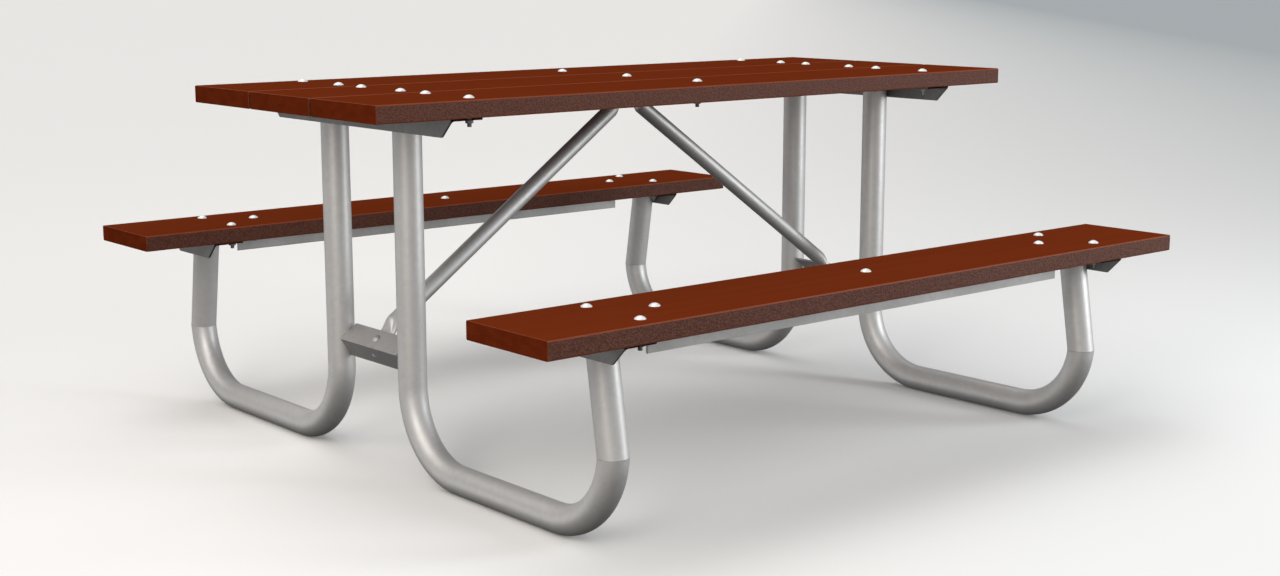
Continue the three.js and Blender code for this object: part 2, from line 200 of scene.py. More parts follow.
def lumber_edge():
    """The long edges of a plank, embossed with a leathery grain, coloured greyer than its faces and
    darker in the grain's hollows: painted sheen and painted shade.
    """
    n = Surface("lumber_edge")
    grain = n.noise((210.0, 270.0, 270.0), detail=3.0, roughness=0.55)
    pits = n.noise((520.0, 700.0, 700.0), detail=2.0)
    raised = n.range(grain, 0.40, 0.60, 0, 1)
    # The grey tone is a painted sheen; the darker colour of the grain's hollows is painted shade.
    colour = n.mix(raised, (0.076, 0.0215, 0.0110), (0.124, 0.0425, 0.0245))
    roughness = n.range(pits, 0.3, 0.7, 0.45, 0.62)
    embossed = n.bump(grain, 0.0022, 0.8)
    normal = n.bump(pits, 0.0004, 0.5, after=embossed)
    return n.finish(colour, roughness, normal, Specular_IOR_Level=0.2)


def lumber_corner():
    """The rounded corners of a plank, coloured lighter than its faces as a painted highlight, and
    smoother.
    """
    n = Surface("lumber_corner")
    corner_mottle = n.noise((30.0, 200.0, 200.0), detail=3.0)
    # The lighter corner colour is a painted highlight along the rounded edges.
    colour = n.mix(n.range(corner_mottle, 0.35, 0.65, 0, 1), (0.195, 0.0370, 0.0110), (0.225, 0.0460, 0.0150))
    roughness = n.range(corner_mottle, 0.3, 0.7, 0.40, 0.50)
    normal = n.bump(corner_mottle, 0.0003, 0.4)
    return n.finish(colour, roughness, normal, Specular_IOR_Level=0.18)


def lumber_end():
    """The sawn ends of a plank: darker, with saw marks and the pores of the foamed core, whose hollows
    are coloured dark as painted shade.
    """
    n = Surface("lumber_end")
    saw = n.noise((1.0, 22.0, 900.0), detail=2.0)
    pores = n.cells((260.0, 260.0, 260.0), "Distance")
    core = n.noise((20.0, 34.0, 60.0), detail=3.0)
    pore_shade = n.range(pores, 0.08, 0.2, 1, 0)
    body = n.mix(n.range(core, 0.35, 0.65, 0, 1), (0.100, 0.0150, 0.0038), (0.124, 0.0195, 0.0052))
    # The pores are coloured dark: painted shade in their hollows.
    colour = n.mix(pore_shade, body, (0.050, 0.008, 0.0035))
    roughness = n.range(core, 0.3, 0.7, 0.62, 0.74)
    sawn = n.bump(saw, 0.0004, 0.4)
    normal = n.bump(pores, 0.0005, 0.25, after=sawn)
    return n.finish(colour, roughness, normal, Specular_IOR_Level=0.0)


def galvanised(name, dark, light, roughness_low, roughness_high):
    """Hot-dip zinc: soft grey with faint spangles, clouds and a slightly uneven coat."""
    n = Surface(name)
    spangle = n.cells((95.0, 95.0, 95.0), "Color")
    split = n.add("ShaderNodeSeparateColor")
    n.link(spangle, split.inputs["Color"])
    cloud = n.noise((9.0, 9.0, 9.0), detail=4.0)
    specks = n.noise((700.0, 700.0, 700.0), detail=2.0)
    zinc = n.mix(n.range(split.outputs["Red"], 0, 1, 0.25, 0.75), dark, light)
    clouded = n.mix(n.range(cloud, 0.35, 0.7, 0, 0.4), zinc, dark)
    rough = n.range(cloud, 0.3, 0.7, roughness_low, roughness_high)
    coat = n.bump(cloud, 0.0006, 0.25)
    normal = n.bump(specks, 0.00006, 0.3, after=coat)
    n.shader.inputs["Specular Tint"].default_value = (0.5, 0.5, 0.5, 1.0)
    return n.finish(clouded, rough, normal, Metallic=0.68)


def bright_zinc():
    """Electroplated bolts and nuts: bright, with fine turning marks. The nuts are drawn with the darker
    shaded zinc instead, as painted shade.
    """
    n = Surface("bright_zinc")
    turned = n.noise((160.0, 160.0, 900.0), detail=3.0)
    cloud = n.noise((120.0, 120.0, 120.0), detail=2.0)
    colour = n.mix(n.range(cloud, 0.35, 0.65, 0, 1), (0.86, 0.88, 0.88), (0.93, 0.94, 0.93))
    roughness = n.range(cloud, 0.3, 0.7, 0.36, 0.46)
    normal = n.bump(turned, 0.00006, 0.3)
    return n.finish(colour, roughness, normal, Metallic=0.35)


LUMBER = [lumber_face(), lumber_edge(), lumber_end(), lumber_corner()]
TUBE_ZINC = galvanised("galvanised_tube", (0.60, 0.589, 0.578), (0.68, 0.672, 0.664), 0.46, 0.54)
ANGLE_ZINC = galvanised("galvanised_angle", (0.44, 0.432, 0.425), (0.53, 0.522, 0.515), 0.50, 0.60)
# A darker copy of the galvanised zinc, painted shade for the parts that sit in shade under the planks;
# they are the same steel as the rest.
SHADED_ZINC = galvanised("galvanised_shaded", (0.25, 0.25, 0.247), (0.33, 0.33, 0.325), 0.50, 0.60)
BOLT_ZINC = bright_zinc()


# ---- Meshes ---------------------------------------------------------------------------------

def settle(target):
    """Works out a piece's modifiers and keeps the mesh they make."""
    graph = bpy.context.evaluated_depsgraph_get()
    made = bpy.data.meshes.new_from_object(target.evaluated_get(graph))
    target.modifiers.clear()
    target.data = made


def flatten_faces(target):
    """Lets the large faces of a piece keep their own direction, so that only its edges look round."""
    weighted = target.modifiers.new("weighted", "WEIGHTED_NORMAL")
    weighted.keep_sharp = True
    weighted.weight = 100
    settle(target)


def piece(name, mesh_code, materials, nodes=(), sharp_angle=math.radians(32)):
    """Turns bmesh code into a piece that rides on the table and stands for CAD nodes."""
    bmesh.ops.recalc_face_normals(mesh_code, faces=mesh_code.faces)
    for face in mesh_code.faces:
        face.smooth = True
    for edge in mesh_code.edges:
        edge.smooth = edge.calc_face_angle(0.0) < sharp_angle
    mesh = bpy.data.meshes.new(name)
    mesh_code.to_mesh(mesh)
    mesh_code.free()
    for material in materials:
        mesh.materials.append(material)
    shown = bpy.data.objects.new(name, mesh)
    bpy.context.scene.collection.objects.link(shown)
    flatten_faces(shown)
    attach(shown, "root")
    if nodes:
        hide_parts(*nodes)
    return shown


def middle(node):
    low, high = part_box(node)
    return (Vector(low) + Vector(high)) / 2


def skin(mesh_code, rings, closed=True):
    """Quads between rings of points; a closed ring joins its last point to its first."""
    rows = [[mesh_code.verts.new(point) for point in ring] for ring in rings]
    for row, following in zip(rows, rows[1:]):
        count = len(row)
        for i in range(count if closed else count - 1):
            j = (i + 1) % count
            mesh_code.faces.new((row[i], row[j], following[j], following[i]))
    return rows


# ---- Planks ---------------------------------------------------------------------------------

def rounded_section(half_width, half_height, radius, steps=6):
    points = []
    for quarter, (y, z) in enumerate(((1, 1), (-1, 1), (-1, -1), (1, -1))):
        for step in range(steps + 1):
            turn = (quarter + step / steps) * math.pi / 2
            points.append((
                y * (half_width - radius) + radius * math.cos(turn),
                z * (half_height - radius) + radius * math.sin(turn),
            ))
    return points


def plank(node):
    low, high = (Vector(corner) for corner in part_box(node))
    centre = (low + high) / 2
    half = (high - low) / 2
    stations = []
    for step in range(4):
        turn = step / 3 * math.pi / 2
        inset = PLANK_END_ROUNDING * (1 - math.sin(turn))
        stations.append((half.x - PLANK_END_ROUNDING * (1 - math.cos(turn)), inset))
    stations = [(-x, inset) for x, inset in stations] + [(x, inset) for x, inset in reversed(stations)]
    mesh_code = bmesh.new()
    rings = []
    for x, inset in stations:
        section = rounded_section(half.y - inset, half.z - inset, PLANK_EDGE_RADIUS - inset)
        rings.append([centre + Vector((x, y, z)) for y, z in section])
    rings.sort(key=lambda ring: ring[0].x)
    rows = skin(mesh_code, rings)
    mesh_code.faces.new(rows[0])
    mesh_code.faces.new(rows[-1])
    mesh_code.normal_update()
    for face in mesh_code.faces:
        across, sideways, up = (abs(part) for part in face.normal)
        if across > 0.95:
            face.material_index = 2
        elif sideways > 0.95:
            face.material_index = 1
        # The rounded corners take the lighter corner colour, a painted highlight.
        elif up < 0.95:
            face.material_index = 3
    return piece(node + "_lumber", mesh_code, LUMBER, [node])


# ---- Angles ---------------------------------------------------------------------------------

def arc(centre, radius, start, end, steps=5):
    turns = [start + (end - start) * step / steps for step in range(steps + 1)]
    return [(centre[0] + radius * math.cos(t), centre[1] + radius * math.sin(t)) for t in turns]


def angle_section(across, drop):
    """A rolled angle: outer corner at the origin, flanges along +a and -b, rounded inside."""
    quarter = math.pi / 2
    toe, root = ANGLE_TOE_RADIUS, ANGLE_ROOT_RADIUS
    return [
        (0, 0),
        (0, -drop),
        *arc((STEEL - toe, -drop + toe), toe, -quarter, 0),
        *arc((STEEL + root, -STEEL - root), root, 2 * quarter, quarter),
        *arc((across - toe, -STEEL + toe), toe, -quarter, 0),
        (across, 0),
    ]


def angle_bar(section, length, corner, along, flange, drop):
    """An angle of a given section, centred on its outer corner's place and running both ways."""
    mesh_code = bmesh.new()
    rings = []
    for end in (-length / 2, length / 2):
        rings.append([corner + along * end + flange * a - drop * b for a, b in section])
    rows = skin(mesh_code, rings)
    for row in rows:
        mesh_code.faces.new(row)
    return mesh_code


def cut_end(mesh_code, point, outward):
    """Cuts off what lies past a plane and closes the cut."""
    everything = list(mesh_code.verts) + list(mesh_code.edges) + list(mesh_code.faces)
    cut = bmesh.ops.bisect_plane(
        mesh_code, geom=everything, plane_co=point, plane_no=outward, clear_outer=True, dist=1e-6,
    )
    edges = [item for item in cut["geom_cut"] if isinstance(item, bmesh.types.BMEdge)]
    bmesh.ops.holes_fill(mesh_code, edges=edges, sides=0)


def soften(mesh_code, width=ANGLE_EDGE_ROUNDING, least=math.radians(40)):
    """Rounds the sharp edges a little, as rolled and galvanised steel is."""
    bmesh.ops.remove_doubles(mesh_code, verts=mesh_code.verts, dist=1e-6)
    edges = [edge for edge in mesh_code.edges if edge.is_manifold and edge.calc_face_angle(0.0) > least]
    bmesh.ops.bevel(
        mesh_code, geom=edges, offset=width, segments=2, profile=0.6, affect="EDGES", clamp_overlap=True,
    )


def cross_angle(node, end_sign):
    """An angle across the table, with its hanging flange outside and cut back at 45 degrees."""
    low, high = (Vector(corner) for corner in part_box(node))
    inward = Vector((-end_sign, 0, 0))
    outer_x = high.x if end_sign > 0 else low.x
    corner = Vector((outer_x, (low.y + high.y) / 2, high.z))
    section = angle_section(high.x - low.x, high.z - low.z)
    mesh_code = angle_bar(section, high.y - low.y, corner, Vector((0, 1, 0)), inward, Vector((0, 0, -1)))
    for side in (-1, 1):
        start = corner + Vector((0, side * (high.y - low.y) / 2, -STEEL))
        cut_end(mesh_code, start, Vector((0, side, -1)).normalized())
    soften(mesh_code)
    # The angle is drawn with the darker shaded zinc, painted shade, and its end faces along the table
    # get the lighter angle zinc, painted light where light falls on them.
    for face in mesh_code.faces:
        face.material_index = int(abs(face.normal.y) > 0.9)
    return piece(node + "_steel", mesh_code, [SHADED_ZINC, ANGLE_ZINC], [node])


def stiffener(node, seat_sign):
    low, high = (Vector(corner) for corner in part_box(node))
    inward = Vector((0, -seat_sign, 0))
    outer_y = high.y if seat_sign > 0 else low.y
    corner = Vector(((low.x + high.x) / 2, outer_y, high.z))
    section = angle_section(high.y - low.y, high.z - low.z)
    mesh_code = angle_bar(section, high.x - low.x, corner, Vector((1, 0, 0)), inward, Vector((0, 0, -1)))
    soften(mesh_code)
    return piece(node + "_steel", mesh_code, [ANGLE_ZINC], [node])


def batten(node):
    low, high = (Vector(corner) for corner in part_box(node))
    mesh_code = bmesh.new()
    bmesh.ops.create_cube(mesh_code, size=1.0)
    bmesh.ops.scale(mesh_code, vec=high - low, verts=mesh_code.verts)
    bmesh.ops.translate(mesh_code, vec=(low + high) / 2, verts=mesh_code.verts)
    soften(mesh_code, width=0.9 * MM)
    return piece(node + "_steel", mesh_code, [ANGLE_ZINC], [node])


def tie_directions(end_sign):
    """The leg tie's upper flange runs up and inwards, and its lower flange down and inwards."""
    upper = Vector((-end_sign * math.cos(BRACE_SLOPE), 0, math.sin(BRACE_SLOPE)))
    lower = Vector((-end_sign * math.sin(BRACE_SLOPE), 0, -math.cos(BRACE_SLOPE)))
    return upper, lower


def tie_ridge(node, end_sign):
    low, high = (Vector(corner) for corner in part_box(node))
    flange = (high.z - low.z) / (math.sin(BRACE_SLOPE) + math.cos(BRACE_SLOPE))
    ridge_x = high.x if end_sign > 0 else low.x
    return Vector((ridge_x, 0, low.z + flange * math.cos(BRACE_SLOPE))), flange


def leg_tie(node, end_sign):
    low, high = (Vector(corner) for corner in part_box(node))
    upper, lower = tie_directions(end_sign)
    ridge, flange = tie_ridge(node, end_sign)
    section = angle_section(flange, flange)
    mesh_code = angle_bar(section, high.y - low.y, ridge, Vector((0, 1, 0)), upper, lower)
    soften(mesh_code)
    steel = piece(node + "_steel", mesh_code, [ANGLE_ZINC], [node])
    drill(steel, ridge + lower * flange / 2, upper)
    return steel


def drill(target, point, axis, radius=DRILL_RADIUS, depth=40 * MM):
    """Bores a round hole through a piece."""
    mesh_code = bmesh.new()
    bmesh.ops.create_cone(
        mesh_code, cap_ends=True, segments=40, radius1=radius, radius2=radius, depth=depth,
    )
    turn = axis.to_track_quat("Z", "Y").to_matrix().to_4x4()
    bmesh.ops.transform(mesh_code, matrix=Matrix.Translation(point) @ turn, verts=mesh_code.verts)
    mesh = bpy.data.meshes.new("drill")
    mesh_code.to_mesh(mesh)
    mesh_code.free()
    cutter = bpy.data.objects.new("drill", mesh)
    bpy.context.scene.collection.objects.link(cutter)
    boolean = target.modifiers.new("drill", "BOOLEAN")
    boolean.operation = "DIFFERENCE"
    boolean.solver = "EXACT"
    boolean.object = cutter
    settle(target)
    bpy.data.objects.remove(cutter)


# ---- Tubes ----------------------------------------------------------------------------------

def ring_on(centre, tangent, facing, radius, sides=TUBE_SIDES):
    """A tube's section: the circle about its axis, carried along the axis onto a cutting plane."""
    side = Vector((1, 0, 0))
    other = tangent.cross(side).normalized()
    points = []
    for step in range(sides):
        turn = 2 * math.pi * step / sides
        out = side * math.cos(turn) + other * math.sin(turn)
        point = out * radius
        points.append(centre + point - tangent * (point.dot(facing) / tangent.dot(facing)))
    return points


def tube(stations, radius, wall):
    """A hollow tube with open ends through stations of centre, tangent and facing."""
    mesh_code = bmesh.new()
    outer = skin(mesh_code, [ring_on(c, t, f, radius) for c, t, f in stations])
    inner = skin(mesh_code, [ring_on(c, t, f, radius - wall) for c, t, f in stations])
    for end in (0, -1):
        for i in range(TUBE_SIDES):
            j = (i + 1) % TUBE_SIDES
            mesh_code.faces.new((outer[end][i], outer[end][j], inner[end][j], inner[end][i]))
    return mesh_code


class FrameSide:
    """The centreline of one leg tube and its riser, worked out from their boxes."""

    def __init__(self, seat, end):
        self.leg = f"leg_tube_{seat}_{end}"
        self.riser = f"seat_riser_{seat}_{end}"
        self.sign = SEATS[seat]
        low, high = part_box(self.leg)
        self.x = (low[0] + high[0]) / 2
        self.radius = (high[0] - low[0]) / 2
        self.leg_top = high[2]
        nearest = min(abs(low[1]), abs(high[1]))
        self.leg_out = nearest + self.radius
        self.riser_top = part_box(self.riser)[1][2]
        self.seat_out = abs(middle(f"seat_plank_{seat}").y)
        self.kink_up = self.radius + LEG_BEND_RADIUS * (1 - math.cos(SEAT_BEND))
        self.kink_out = self.seat_out + (self.riser_top - self.kink_up) * math.tan(RISER_LEAN)

    def at(self, out, up):
        return Vector((self.x, self.sign * out, up))

    def heading(self, angle):
        return Vector((0, self.sign * math.cos(angle), math.sin(angle)))

    def bend(self, centre_out, start, end):
        stations = []
        for ring in range(BEND_RINGS + 1):
            angle = start + (end - start) * ring / BEND_RINGS
            centre = self.at(
                centre_out + LEG_BEND_RADIUS * math.sin(angle),
                self.radius + LEG_BEND_RADIUS * (1 - math.cos(angle)),
            )
            stations.append((centre, self.heading(angle), self.heading(angle)))
        return stations

    def leg_stations(self):
        down = self.heading(-math.pi / 2)
        stations = [(self.at(self.leg_out, self.leg_top), down, down)]
        stations += self.bend(self.leg_out + LEG_BEND_RADIUS, -math.pi / 2, 0)
        stations += self.bend(self.kink_out - LEG_BEND_RADIUS * math.sin(SEAT_BEND), 0, SEAT_BEND)
        centre, tangent, _ = stations[-1]
        stations[-1] = (centre, tangent, self.kink_facing())
        return stations

    def kink_facing(self):
        return self.heading((SEAT_BEND + math.pi / 2 + RISER_LEAN) / 2)

    def riser_stations(self):
        along = self.heading(math.pi / 2 + RISER_LEAN)
        foot = self.at(self.kink_out, self.kink_up)
        head = self.at(self.seat_out, self.riser_top)
        return [(foot, along, self.kink_facing()), (head, along, Vector((0, 0, 1)))]


# ---- Welds ----------------------------------------------------------------------------------

def bead(mesh_code, points, radius=WELD_RADIUS, closed=False):
    """A rippled weld bead along a line of points."""
    count = len(points)
    rings = []
    for i, point in enumerate(points):
        before = points[(i - 1) % count] if closed or i > 0 else point
        after = points[(i + 1) % count] if closed or i < count - 1 else point
        along = (after - before).normalized()
        side = along.orthogonal() if abs(along.x) > 0.9 else along.cross(Vector((1, 0, 0)))
        side.normalize()
        other = along.cross(side)
        end_taper = 1.0 if closed else math.sin(math.pi * (i + 0.5) / count) ** 0.35
        size = radius * end_taper * (1 + 0.13 * math.sin(i * 2.1) + 0.05 * math.sin(i * 0.7 + 1))
        turns = [2 * math.pi * k / 8 for k in range(8)]
        rings.append([point + (side * math.cos(t) + other * math.sin(t)) * size for t in turns])
    if closed:
        rings.append(rings[0])
    rows = skin(mesh_code, rings)
    if not closed:
        mesh_code.faces.new(rows[0])
        mesh_code.faces.new(rows[-1])


def kink_weld(side, mesh_code):
    """The mitre joint is dressed nearly flush, so only a thin line of it stands proud."""
    centre, tangent, facing = side.riser_stations()[0]
    ring = ring_on(centre, tangent, facing, side.radius - 0.35 * MM, sides=96)
    bead(mesh_code, ring, radius=KINK_WELD_RADIUS, closed=True)


def top_weld(centre, radius, mesh_code, outer_sign):
    """A bead round a tube's top under a flange, except where the hanging flange covers it."""
    points = []
    for step in range(61):
        turn = math.radians(-150 + 5 * step)
        out = Vector((-outer_sign * math.cos(turn), math.sin(turn), 0))
        points.append(centre + out * (radius + 0.6 * MM))
    bead(mesh_code, points)


def tie_welds(end, mesh_code):
    """Beads where each flange of the leg tie meets the legs."""
    end_sign = ENDS[end]
    node = f"leg_tie_angle_{end}"
    ridge, flange = tie_ridge(node, end_sign)
    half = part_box(node)[1][1]
    side = FrameSide("front", end)
    for direction in tie_directions(end_sign):
        reach = abs((side.x - ridge.x) / direction.x)
        for y_sign in (-1, 1):
            points = []
            for step in range(17):
                place = ridge + direction * (reach + (step - 8) * WELD_STEP)
                off = place.x - side.x
                surface = side.leg_out - math.sqrt(max(side.radius ** 2 - off ** 2, 0))
                points.append(Vector((place.x, y_sign * (surface + half) / 2, place.z)))
            bead(mesh_code, points, radius=TIE_WELD_RADIUS)


# ---- Braces ---------------------------------------------------------------------------------

def pressed_ring(centre, slope, flatness, wall_in, sides=TUBE_SIDES):
    """A section of a brace: round, or pressed towards a flat bar as flatness goes from 0 to 1."""
    radius = BRACE_RADIUS - wall_in
    half_width = radius + (TAB_HALF_WIDTH - wall_in - radius) * flatness
    half_height = radius + (TAB_THICKNESS / 2 - wall_in - radius) * flatness
    power = 1 - flatness * 2 / 3
    up = Vector((-math.sin(slope), 0, math.cos(slope)))
    points = []
    for step in range(sides):
        turn = 2 * math.pi * step / sides
        across = math.copysign(abs(math.cos(turn)) ** power, math.cos(turn))
        rise = math.copysign(abs(math.sin(turn)) ** power, math.sin(turn))
        points.append(centre + Vector((0, half_width * across, 0)) + up * (half_height * rise))
    return points


def brace_stations(end):
    """Centre, slope and flatness along the left brace; the right one is turned afterwards."""
    ridge, flange = tie_ridge("leg_tie_angle_left", -1)
    uphill, _ = tie_directions(-1)
    facing_up = Vector((-uphill.z, 0, uphill.x))
    tab = ridge + uphill * flange / 2 - facing_up * (STEEL + GAP + TAB_THICKNESS / 2)
    drop = TAB_THICKNESS + GAP if end == "left" else 0
    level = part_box("centre_batten")[0][2] - GAP - TAB_THICKNESS / 2 - drop
    fold = Vector((-(BRACE_FOLD_OFFSET + drop / math.tan(BRACE_SLOPE)), 0, level + TAB_THICKNESS / 2))

    def near_tie(distance, rise, flatness):
        return tab + uphill * distance * MM + facing_up * rise * MM, BRACE_SLOPE, flatness

    def near_top(distance, flatness, slope=BRACE_SLOPE):
        half_height = BRACE_RADIUS + (TAB_THICKNESS / 2 - BRACE_RADIUS) * flatness
        below = Vector((math.sin(slope), 0, -math.cos(slope))) * half_height
        return fold - uphill * distance * MM + below, slope, flatness

    return [
        near_tie(-16, 0, 1),
        near_tie(26, 0, 1),
        near_tie(31, -0.6, 0.82),
        near_tie(36, -0.6, 0.5),
        near_tie(42, 1.8, 0.24),
        near_tie(49, 4.3, 0.07),
        near_tie(56, 5.4, 0),
        near_top(26, 0),
        near_top(18, 0.14),
        near_top(11, 0.45),
        near_top(5, 0.8),
        near_top(0, 1, BRACE_SLOPE / 2),
        (Vector((fold.x + 8 * MM, 0, level)), 0, 1),
        (Vector((16 * MM, 0, level)), 0, 1),
    ]


def brace(end):
    mesh_code = bmesh.new()
    stations = brace_stations(end)
    outer = skin(mesh_code, [pressed_ring(c, s, f, 0) for c, s, f in stations])
    inner = skin(mesh_code, [pressed_ring(c, s, f, BRACE_WALL) for c, s, f in stations])
    for last in (0, -1):
        for i in range(TUBE_SIDES):
            j = (i + 1) % TUBE_SIDES
            mesh_code.faces.new((outer[last][i], outer[last][j], inner[last][j], inner[last][i]))
    if end == "right":
        bmesh.ops.rotate(mesh_code, matrix=Matrix.Rotation(math.pi, 3, "Z"), verts=mesh_code.verts)
    node = f"brace_tube_{end}"
    return piece(node + "_steel", mesh_code, [TUBE_ZINC], [node])


# ---- Bolts ----------------------------------------------------------------------------------

def lathe(mesh_code, profile, sides=32):
    """Turns a profile of radius and height round Z; a point on the axis closes it."""
    rows = []
    for radius, z in profile:
        if radius < 1e-7:
            rows.append([mesh_code.verts.new((0, 0, z))])
            continue
        turns = [2 * math.pi * k / sides for k in range(sides)]
        points = [(radius * math.cos(t), radius * math.sin(t), z) for t in turns]
        rows.append([mesh_code.verts.new(point) for point in points])
    for row, following in zip(rows, rows[1:]):
        for i in range(sides):
            j = (i + 1) % sides
            corners = [row[i % len(row)], row[j % len(row)], following[j % len(following)],
                       following[i % len(following)]]
            mesh_code.faces.new(list(dict.fromkeys(corners)))


def dome(mesh_code, height):
    """The bolt's head, from its rim over the crown, with a flat underside."""
    rise = height - DOME_RIM
    ball = (DOME_RADIUS ** 2 + rise ** 2) / (2 * rise)
    widest = math.asin(DOME_RADIUS / ball)
    profile = []
    for step in range(11):
        turn = widest * step / 10
        profile.append((ball * math.sin(turn), height - ball * (1 - math.cos(turn))))
    profile += [(DOME_RADIUS, 0.25 * MM), (DOME_RADIUS - 0.3 * MM, 0), (BOLT_RADIUS, 0)]
    lathe(mesh_code, profile)


def shank(mesh_code, grip, length):
    """The plain shank, then the thread that shows below the nut."""
    sides = 24
    thread_top = -grip - NUT_HEIGHT + THREAD_PITCH
    heights = [0, thread_top]
    rows = round((length + thread_top) / THREAD_PITCH * 4)
    heights += [thread_top - (length + thread_top) * (k + 1) / rows for k in range(rows)]
    rings = []
    for z in heights:
        ring = []
        for k in range(sides):
            phase = (z / THREAD_PITCH + k / sides) % 1
            groove = THREAD_DEPTH * abs(2 * phase - 1) if z < thread_top else 0
            taper = max(0, 1.2 * MM - (z + length)) if z < 0 else 0
            radius = min(BOLT_RADIUS - groove, BOLT_RADIUS - taper * 0.6)
            turn = 2 * math.pi * k / sides
            ring.append(Vector((radius * math.cos(turn), radius * math.sin(turn), z)))
        rings.append(ring)
    built = skin(mesh_code, rings)
    mesh_code.faces.new(built[-1])


def hex_nut(mesh_code, top):
    """A hex nut with its corners chamfered on both faces."""
    sides = 48
    flat = NUT_ACROSS_FLATS / 2
    chamfer_radius = flat * 0.96
    rings = [[] for _ in range(6)]
    for k in range(sides):
        turn = 2 * math.pi * k / sides
        corner = flat / math.cos((turn + math.pi / 6) % (math.pi / 3) - math.pi / 6)
        fall = (corner - chamfer_radius) * math.tan(math.radians(30))
        out = Vector((math.cos(turn), math.sin(turn), 0))
        for ring, radius, z in zip(
            rings,
            (BOLT_RADIUS, chamfer_radius, corner, corner, chamfer_radius, BOLT_RADIUS),
            (top, top, top - fall, top - NUT_HEIGHT + fall, top - NUT_HEIGHT, top - NUT_HEIGHT),
        ):
            ring.append(out * radius + Vector((0, 0, z)))
    skin(mesh_code, rings)


def carriage_bolt(node, head_point, axis, grip, length, head_height, zinc=BOLT_ZINC):
    """A bolt with its nut, hanging from the underside of its head along the axis."""
    mesh_code = bmesh.new()
    dome(mesh_code, head_height)
    shank(mesh_code, grip, length)
    hex_nut(mesh_code, -grip)
    # The nut and the thread below it take the darker shaded zinc: painted shade.
    for face in mesh_code.faces:
        face.material_index = int(face.calc_center_median().z < -grip)
    turn = axis.to_track_quat("Z", "Y").to_matrix().to_4x4()
    bmesh.ops.transform(mesh_code, matrix=Matrix.Translation(head_point) @ turn, verts=mesh_code.verts)
    return piece(node + "_zinc", mesh_code, [zinc, SHADED_ZINC], [node])


# ---- Assembly -------------------------------------------------------------------------------

def build_planks():
    for row in ("front", "middle", "back"):
        plank(f"top_plank_{row}")
    for seat in SEATS:
        plank(f"seat_plank_{seat}")


def build_steel():
    batten("centre_batten")
    for end, end_sign in ENDS.items():
        cross_angle(f"top_cross_angle_{end}", end_sign)
        leg_tie(f"leg_tie_angle_{end}", end_sign)
        brace(end)
        for seat in SEATS:
            cross_angle(f"seat_bracket_{seat}_{end}", end_sign)
    for seat, seat_sign in SEATS.items():
        stiffener(f"seat_stiffener_{seat}", seat_sign)


def build_tubes():
    for end, end_sign in ENDS.items():
        welds = bmesh.new()
        for seat in SEATS:
            side = FrameSide(seat, end)
            leg = tube(side.leg_stations(), side.radius, LEG_WALL)
            piece(side.leg + "_steel", leg, [TUBE_ZINC], [side.leg])
            riser = tube(side.riser_stations(), side.radius, LEG_WALL)
            piece(side.riser + "_steel", riser, [TUBE_ZINC], [side.riser])
            kink_weld(side, welds)
            top_weld(side.at(side.leg_out, side.leg_top - MM), side.radius, welds, end_sign)
            top_weld(side.at(side.seat_out, side.riser_top - MM), side.radius, welds, end_sign)
        tie_welds(end, welds)
        piece(f"welds_{end}", welds, [ANGLE_ZINC], sharp_angle=math.pi)


def build_bolts():
    up = Vector((0, 0, 1))
    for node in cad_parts:
        low, high = (Vector(corner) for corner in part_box(node))
        if node.startswith(("top_bolt", "seat_bolt")):
            under = "top_plank_middle" if node.startswith("top") else "seat_plank_front"
            head = Vector(((low.x + high.x) / 2, (low.y + high.y) / 2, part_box(under)[1][2]))
            steel = "centre_batten" if node.startswith("top") else "seat_stiffener_front"
            grip = head.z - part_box(steel)[0][2]
            if node.startswith("seat"):
                grip = head.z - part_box("seat_bracket_front_left")[1][2] + STEEL
            if node == "top_bolt_middle_3":
                grip += 2 * (TAB_THICKNESS + GAP)
            carriage_bolt(node, head, up, grip, head.z - low.z, high.z - head.z)
    for end, end_sign in ENDS.items():
        upper, lower = tie_directions(end_sign)
        ridge, flange = tie_ridge(f"leg_tie_angle_{end}", end_sign)
        head = ridge + upper * flange / 2
        grip = STEEL + 2 * GAP + TAB_THICKNESS
        carriage_bolt(
            f"brace_bolt_{end}", head, -lower, grip, BRACE_BOLT_LENGTH, BRACE_BOLT_HEAD, ANGLE_ZINC,
        )


# ---- Stage ----------------------------------------------------------------------------------

FLOOR_PALE = (0.93, 0.92, 0.905)
FLOOR_SHADED_FAR = (0.44, 0.48, 0.50)
FLOOR_GRADE = (1.0, -1.0, 0.0)
FLOOR_GRADE_START = -1.0
FLOOR_GRADE_END = 9.0
FLOOR_HALF_SIZE = 150


def floor_material():
    """A pale studio floor that turns a little darker and cooler to one side, far out, as painted shade
    where the light falls off.
    """
    n = Surface("studio_floor")
    coordinates = n.add("ShaderNodeTexCoord")
    far = n.facing(coordinates.outputs["Object"], FLOOR_GRADE)
    # The darker, cooler colour far out is painted shade.
    colour = n.mix(n.range(far, FLOOR_GRADE_START, FLOOR_GRADE_END, 0, 1), FLOOR_PALE, FLOOR_SHADED_FAR)
    fine = n.noise((40.0, 40.0, 40.0))
    normal = n.bump(fine, 0.0002, 0.1)
    return n.finish(colour, n.range(fine, 0.3, 0.7, 0.6, 0.7), normal, Specular_IOR_Level=0.0)


def build_floor():
    """The floor takes shadows; the light it would throw back up is part of the studio light."""
    mesh_code = bmesh.new()
    bmesh.ops.create_grid(mesh_code, x_segments=1, y_segments=1, size=FLOOR_HALF_SIZE)
    mesh = bpy.data.meshes.new("floor")
    mesh_code.to_mesh(mesh)
    mesh_code.free()
    mesh.materials.append(floor_material())
    floor = bpy.data.objects.new("floor", mesh)
    floor.visible_diffuse = False
    floor.visible_glossy = False
    bpy.context.scene.collection.objects.link(floor)


